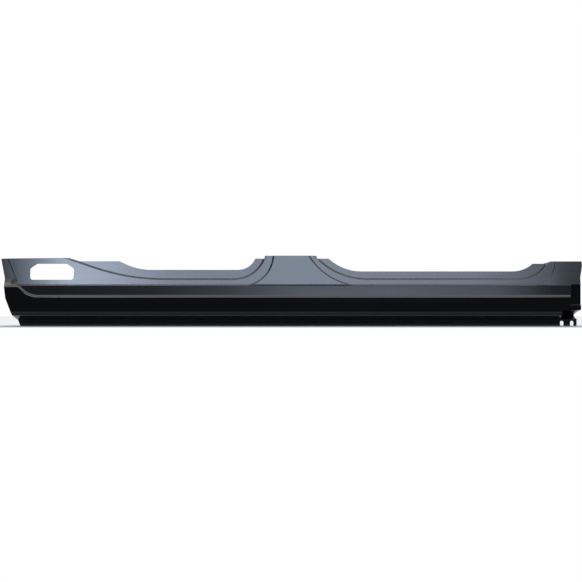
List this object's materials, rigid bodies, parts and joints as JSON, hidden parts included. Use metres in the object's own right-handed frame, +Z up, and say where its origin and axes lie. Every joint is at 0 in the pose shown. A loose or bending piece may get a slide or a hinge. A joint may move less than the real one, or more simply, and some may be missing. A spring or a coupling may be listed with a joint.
{
  "type": "rocker panel",
  "caption": "Outer rocker panel for one side of a vehicle body: a long pressed C-section sill with pillar feet, stepped door-opening rebates, an access hole and a pinch flange.",
  "frame": {"origin": "on the inboard face of the pinch flange, on its weld line halfway up the flange, at mid length of the panel", "axes": "+X to the rear of the vehicle along the panel's length, +Y inboard out of the weld face, +Z up; the painted outer side faces -Y"},
  "size_m": [2.1008, 0.0956, 0.2552],
  "materials": {
    "coated_steel": "smooth semi-gloss black electrocoat over pressed steel"
  },
  "bodies": {
    "root": {"rocker_panel": "coated_steel"}
  },
  "joints": []
}
